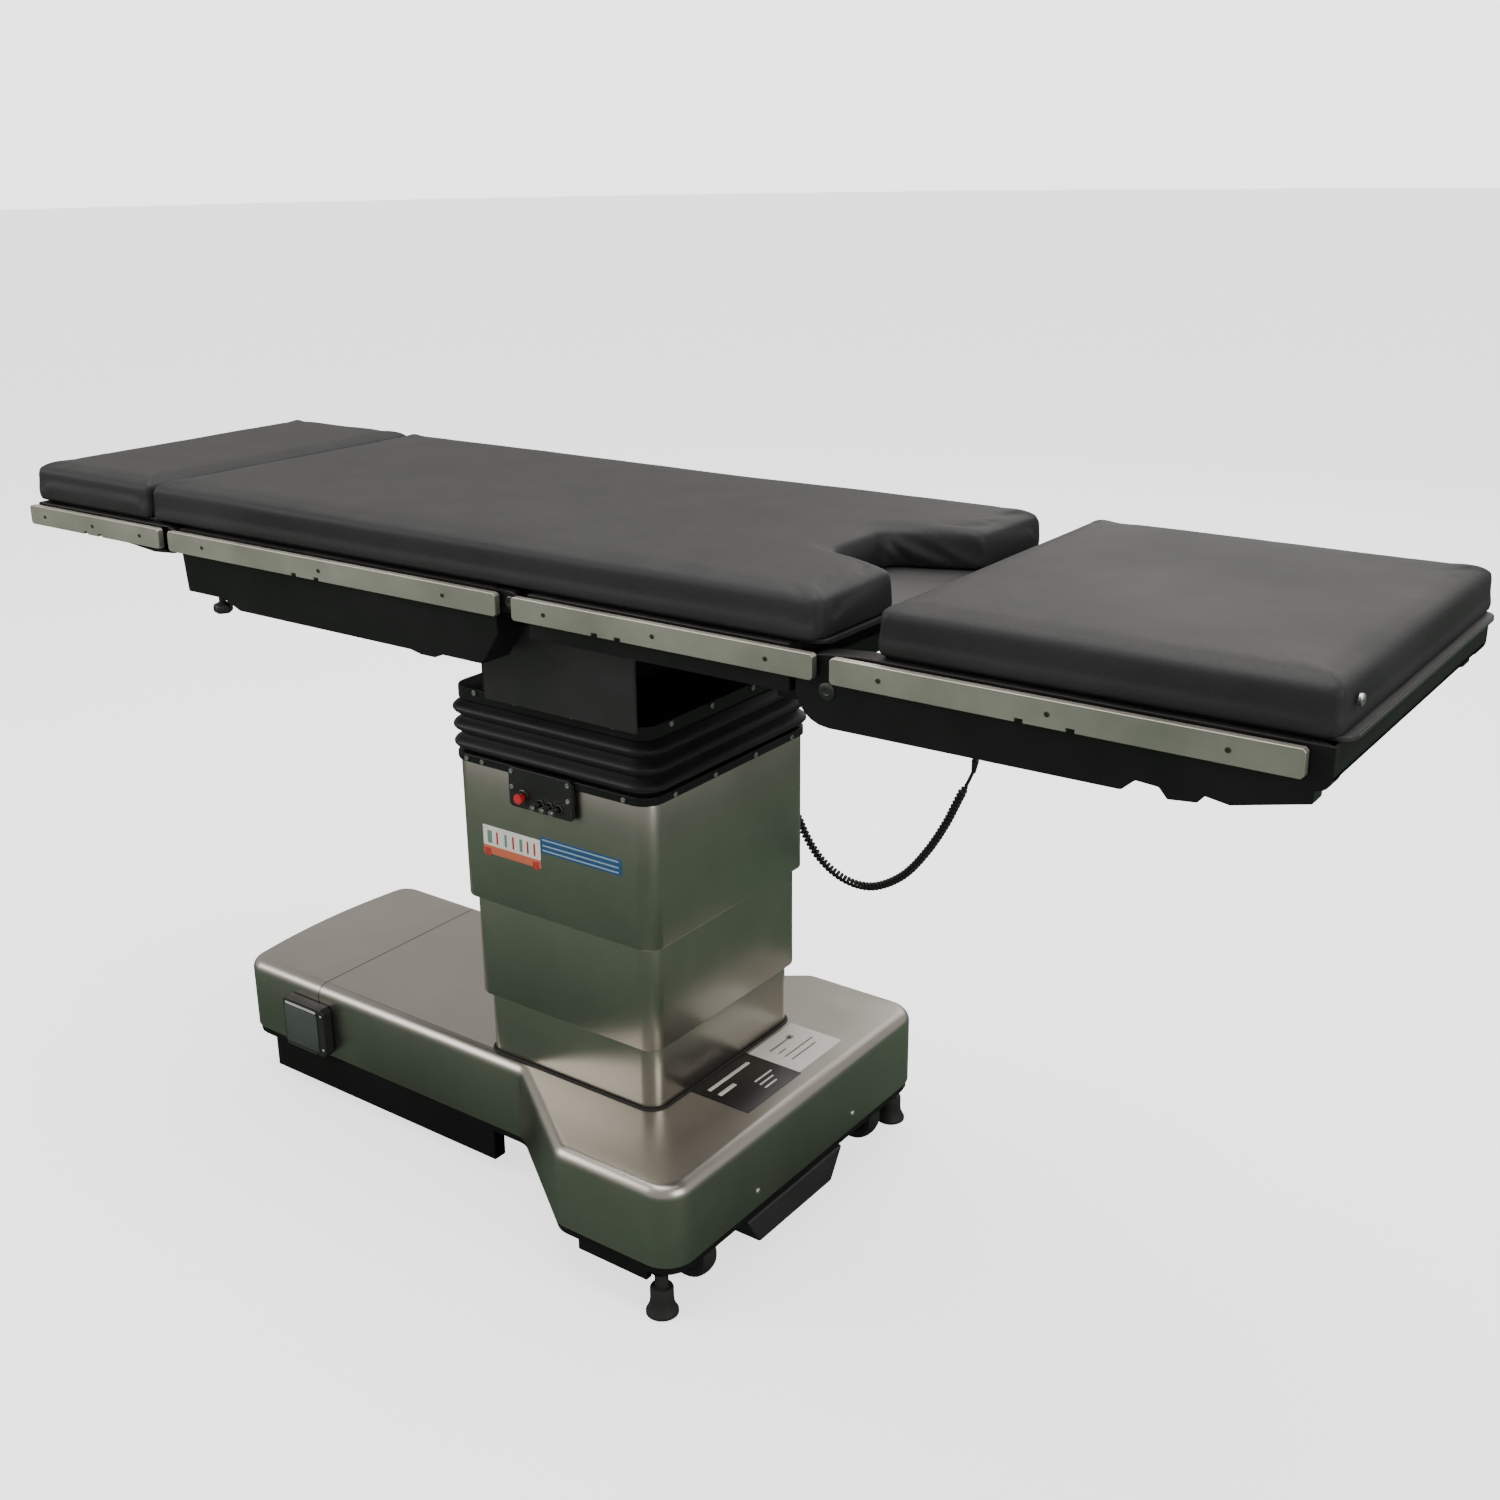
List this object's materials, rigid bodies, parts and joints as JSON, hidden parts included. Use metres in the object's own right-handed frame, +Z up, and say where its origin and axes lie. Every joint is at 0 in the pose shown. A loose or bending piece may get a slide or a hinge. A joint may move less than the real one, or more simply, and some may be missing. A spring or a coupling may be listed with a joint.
{
  "type": "operating table",
  "caption": "Wheeled surgical table: stepped base, telescoping column with bellows, tilting saddle, and hinged head, back, seat and leg sections with pads and side rails.",
  "frame": {"origin": "on the floor under the middle of the table's length and width, floor locks down, lift at the pictured height", "axes": "+X to the leg end, +Y to the far side, away from the override panel, +Z up"},
  "size_m": [1.952, 0.6063, 0.975],
  "materials": {
    "pad_vinyl": "satin",
    "board": "matte",
    "black_casting": "satin",
    "iron_casting": "satin",
    "stainless": "satin",
    "rail_steel": "satin",
    "steel": "satin",
    "bright_steel": "polished",
    "black_rubber": "matte",
    "black_plastic": "matte",
    "red_plastic": "gloss"
  },
  "bodies": {
    "base": {"base_frame": "iron_casting", "base_cover": "stainless", "end_housing": "black_plastic", "inlet_box": "black_plastic", "lower_shroud": "stainless", "guide_tube": "steel"},
    "floor_locks": {"floor_lock_head_near": "black_rubber", "floor_lock_head_far": "black_rubber", "floor_lock_leg_near": "black_rubber", "floor_lock_leg_far": "black_rubber"},
    "swivel_head_near": {"caster_fork_head_near": "steel"},
    "swivel_head_far": {"caster_fork_head_far": "steel"},
    "swivel_leg_near": {"caster_fork_leg_near": "steel"},
    "swivel_leg_far": {"caster_fork_leg_far": "steel"},
    "wheel_head_near": {"caster_wheel_head_near": "black_rubber"},
    "wheel_head_far": {"caster_wheel_head_far": "black_rubber"},
    "wheel_leg_near": {"caster_wheel_leg_near": "black_rubber"},
    "wheel_leg_far": {"caster_wheel_leg_far": "black_rubber"},
    "middle_stage": {"middle_shroud": "stainless"},
    "carriage": {"upper_shroud": "stainless", "column_head": "iron_casting", "bellows_lower_flange": "black_casting", "override_panel": "black_plastic"},
    "red_button": {"override_button": "red_plastic"},
    "switch_1": {"override_switch_1": "bright_steel"},
    "switch_2": {"override_switch_2": "bright_steel"},
    "switch_3": {"override_switch_3": "bright_steel"},
    "gimbal": {"tilt_cross": "iron_casting", "bellows_upper_flange": "black_casting", "bellows": "black_rubber"},
    "seat": {"saddle": "iron_casting", "saddle_cover_near": "black_plastic", "saddle_cover_far": "black_plastic", "seat_frame": "black_casting", "seat_board": "board", "seat_pad": "pad_vinyl", "pad_fold": "pad_vinyl", "seat_rail_near": "rail_steel", "seat_rail_far": "rail_steel", "hand_control": "black_plastic", "cord_lead": "black_rubber", "cord_curls": "black_rubber", "cord_tail": "black_rubber"},
    "back": {"back_frame": "black_casting", "back_board": "board", "back_pad": "pad_vinyl", "back_pad_end": "pad_vinyl", "back_rail_near": "rail_steel", "back_rail_far": "rail_steel"},
    "lock_knob": {"head_lock_knob": "black_plastic"},
    "head": {"head_frame": "black_casting", "head_board": "board", "head_pad": "pad_vinyl", "head_rail_near": "rail_steel", "head_rail_far": "rail_steel"},
    "leg": {"leg_frame": "black_casting", "leg_board": "board", "leg_pad": "pad_vinyl", "leg_rail_near": "rail_steel", "leg_rail_far": "rail_steel"}
  },
  "joints": [
    {"name": "floor_lock_travel", "type": "slide", "parent": "base", "child": "floor_locks", "axis": [0, 0, 1], "range_m": [0, 0.02]},
    {"name": "lift", "type": "slide", "parent": "base", "child": "carriage", "axis": [0, 0, 1], "range_m": [-0.164, 0.13]},
    {"name": "middle_stage_travel", "type": "slide", "parent": "base", "child": "middle_stage", "axis": [0, 0, 1], "range_m": [-0.082, 0.065]},
    {"name": "tilt", "type": "hinge", "parent": "carriage", "child": "gimbal", "pos_m": [-0.042, 0, 0.69], "axis": [-1, 0, 0], "range_deg": [-18, 18], "deforming": ["bellows"]},
    {"name": "trend", "type": "hinge", "parent": "gimbal", "child": "seat", "pos_m": [-0.042, 0, 0.775], "axis": [0, -1, 0], "range_deg": [-25, 25]},
    {"name": "back_section", "type": "hinge", "parent": "seat", "child": "back", "pos_m": [-0.009, 0, 0.902], "axis": [0, 1, 0], "range_deg": [-35, 80], "deforming": ["pad_fold"]},
    {"name": "head_section", "type": "hinge", "parent": "back", "child": "head", "pos_m": [-0.659, 0, 0.8965], "axis": [0, -1, 0], "range_deg": [-60, 90], "deforming": ["back_pad_end"]},
    {"name": "leg_section", "type": "hinge", "parent": "seat", "child": "leg", "pos_m": [0.44, 0, 0.872], "axis": [0, 1, 0], "range_deg": [0, 105]},
    {"name": "lock_knob_turn", "type": "hinge", "parent": "back", "child": "lock_knob", "pos_m": [-0.574, -0.249, 0.82], "axis": [0, 0, 1], "continuous": true},
    {"name": "red_button_press", "type": "slide", "parent": "carriage", "child": "red_button", "axis": [0, 1, 0], "range_m": [0, 0.003], "stiffness_N_per_m": 800},
    {"name": "switch_1_tilt", "type": "hinge", "parent": "carriage", "child": "switch_1", "pos_m": [-0.046, -0.1793, 0.611], "axis": [1, 0, 0], "range_deg": [-12, 12], "stiffness_Nm_per_rad": 0.3},
    {"name": "switch_2_tilt", "type": "hinge", "parent": "carriage", "child": "switch_2", "pos_m": [-0.03, -0.1793, 0.611], "axis": [1, 0, 0], "range_deg": [-12, 12], "stiffness_Nm_per_rad": 0.3},
    {"name": "switch_3_tilt", "type": "hinge", "parent": "carriage", "child": "switch_3", "pos_m": [-0.014, -0.1793, 0.611], "axis": [1, 0, 0], "range_deg": [-12, 12], "stiffness_Nm_per_rad": 0.3},
    {"name": "swivel_head_near_turn", "type": "hinge", "parent": "base", "child": "swivel_head_near", "pos_m": [-0.561, -0.08, 0.09], "axis": [0, 0, 1], "continuous": true},
    {"name": "wheel_head_near_spin", "type": "hinge", "parent": "swivel_head_near", "child": "wheel_head_near", "pos_m": [-0.545, -0.08, 0.046], "axis": [0, 1, 0], "continuous": true},
    {"name": "swivel_head_far_turn", "type": "hinge", "parent": "base", "child": "swivel_head_far", "pos_m": [-0.561, 0.08, 0.09], "axis": [0, 0, 1], "continuous": true},
    {"name": "wheel_head_far_spin", "type": "hinge", "parent": "swivel_head_far", "child": "wheel_head_far", "pos_m": [-0.545, 0.08, 0.046], "axis": [0, 1, 0], "continuous": true},
    {"name": "swivel_leg_near_turn", "type": "hinge", "parent": "base", "child": "swivel_leg_near", "pos_m": [0.178, -0.203, 0.09], "axis": [0, 0, 1], "continuous": true},
    {"name": "wheel_leg_near_spin", "type": "hinge", "parent": "swivel_leg_near", "child": "wheel_leg_near", "pos_m": [0.194, -0.203, 0.046], "axis": [0, 1, 0], "continuous": true},
    {"name": "swivel_leg_far_turn", "type": "hinge", "parent": "base", "child": "swivel_leg_far", "pos_m": [0.178, 0.203, 0.09], "axis": [0, 0, 1], "continuous": true},
    {"name": "wheel_leg_far_spin", "type": "hinge", "parent": "swivel_leg_far", "child": "wheel_leg_far", "pos_m": [0.194, 0.203, 0.046], "axis": [0, 1, 0], "continuous": true}
  ],
  "couplings": [
    {"joint": "middle_stage_travel", "follows": "lift", "ratio": 0.5}
  ]
}
